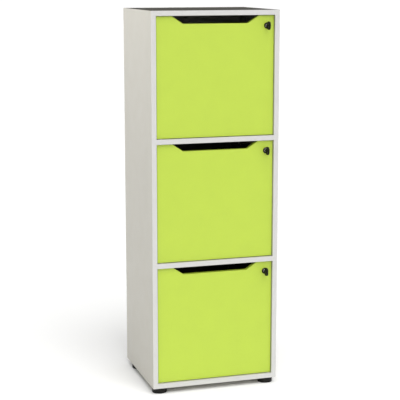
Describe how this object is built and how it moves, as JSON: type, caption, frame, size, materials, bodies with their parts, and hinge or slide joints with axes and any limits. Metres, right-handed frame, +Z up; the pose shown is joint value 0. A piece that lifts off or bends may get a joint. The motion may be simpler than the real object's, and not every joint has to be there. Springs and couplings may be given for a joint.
{
  "type": "recycling bin station",
  "caption": "Tall free-standing recycling cabinet with stacked compartments, each with a lockable inset door, a drop slot and a loose inner bin.",
  "frame": {"origin": "on the floor, under the centre of the bounding box, keys included", "axes": "+Z up, front and doors towards -Y, hinges on the -X side and locks on the +X side"},
  "size_m": [0.43, 0.378, 1.254],
  "materials": {
    "light_laminate": "melamine-faced chipboard, satin light grey",
    "green_laminate": "melamine-faced chipboard, satin lime green",
    "back_hardboard": "thin hardboard with a light painted face",
    "black_plastic": "moulded, slightly glossy black",
    "bin_plastic": "moulded polypropylene, matt black",
    "foot_plastic": "moulded, matt black",
    "white_nylon": "moulded, natural white",
    "nickel_plate": "nickel plated",
    "zinc_plated_steel": "bright zinc plated",
    "cast_zinc": "die cast, dull grey",
    "beech": "fluted hardwood peg"
  },
  "bodies": {
    "cabinet": {"top_board": "light_laminate", "bottom_board": "light_laminate", "upper_shelf": "light_laminate", "lower_shelf": "light_laminate", "left_side": "light_laminate", "right_side": "light_laminate", "back_panel": "back_hardboard", "pivot_bushes": "white_nylon", "bottom_strike_plate": "zinc_plated_steel", "bottom_door_stop": "white_nylon", "bottom_inner_bin": "bin_plastic", "middle_strike_plate": "zinc_plated_steel", "middle_door_stop": "white_nylon", "middle_inner_bin": "bin_plastic", "top_strike_plate": "zinc_plated_steel", "top_door_stop": "white_nylon", "top_inner_bin": "bin_plastic", "strike_screws": "zinc_plated_steel", "front_left_foot": "foot_plastic", "front_right_foot": "foot_plastic", "rear_left_foot": "foot_plastic", "rear_right_foot": "foot_plastic", "foot_screws": "zinc_plated_steel", "cam_discs": "cast_zinc", "cam_bolts": "zinc_plated_steel", "wood_dowels": "beech", "back_panel_screws": "zinc_plated_steel"},
    "bottom_door": {"bottom_door": "green_laminate", "bottom_hinge_pins": "zinc_plated_steel", "bottom_lock_body": "black_plastic", "bottom_lock_nut": "zinc_plated_steel"},
    "bottom_lock": {"bottom_lock_plug": "nickel_plate", "bottom_lock_cam": "zinc_plated_steel", "bottom_cam_screw": "zinc_plated_steel"},
    "bottom_key": {"bottom_key_blade": "nickel_plate", "bottom_key_bow": "black_plastic"},
    "middle_door": {"middle_door": "green_laminate", "middle_hinge_pins": "zinc_plated_steel", "middle_lock_body": "black_plastic", "middle_lock_nut": "zinc_plated_steel"},
    "middle_lock": {"middle_lock_plug": "nickel_plate", "middle_lock_cam": "zinc_plated_steel", "middle_cam_screw": "zinc_plated_steel"},
    "middle_key": {"middle_key_blade": "nickel_plate", "middle_key_bow": "black_plastic"},
    "top_door": {"top_door": "green_laminate", "top_hinge_pins": "zinc_plated_steel", "top_lock_body": "black_plastic", "top_lock_nut": "zinc_plated_steel"},
    "top_lock": {"top_lock_plug": "nickel_plate", "top_lock_cam": "zinc_plated_steel", "top_cam_screw": "zinc_plated_steel"},
    "top_key": {"top_key_blade": "nickel_plate", "top_key_bow": "black_plastic"}
  },
  "joints": [
    {"name": "bottom_door_hinge", "type": "hinge", "parent": "cabinet", "child": "bottom_door", "pos_m": [-0.182, -0.153, 0.231], "axis": [0, 0, -1], "range_deg": [0, 110]},
    {"name": "bottom_lock_turn", "type": "hinge", "parent": "bottom_door", "child": "bottom_lock", "pos_m": [0.174, -0.161, 0.392], "axis": [0, -1, 0], "range_deg": [0, 90]},
    {"name": "bottom_key_pull", "type": "slide", "parent": "bottom_lock", "child": "bottom_key", "axis": [0, -1, 0], "range_m": [0, 0.03]},
    {"name": "middle_door_hinge", "type": "hinge", "parent": "cabinet", "child": "middle_door", "pos_m": [-0.182, -0.153, 0.637], "axis": [0, 0, -1], "range_deg": [0, 110]},
    {"name": "middle_lock_turn", "type": "hinge", "parent": "middle_door", "child": "middle_lock", "pos_m": [0.174, -0.161, 0.798], "axis": [0, -1, 0], "range_deg": [0, 90]},
    {"name": "middle_key_pull", "type": "slide", "parent": "middle_lock", "child": "middle_key", "axis": [0, -1, 0], "range_m": [0, 0.03]},
    {"name": "top_door_hinge", "type": "hinge", "parent": "cabinet", "child": "top_door", "pos_m": [-0.182, -0.153, 1.043], "axis": [0, 0, -1], "range_deg": [0, 110]},
    {"name": "top_lock_turn", "type": "hinge", "parent": "top_door", "child": "top_lock", "pos_m": [0.174, -0.161, 1.204], "axis": [0, -1, 0], "range_deg": [0, 90]},
    {"name": "top_key_pull", "type": "slide", "parent": "top_lock", "child": "top_key", "axis": [0, -1, 0], "range_m": [0, 0.03]}
  ]
}
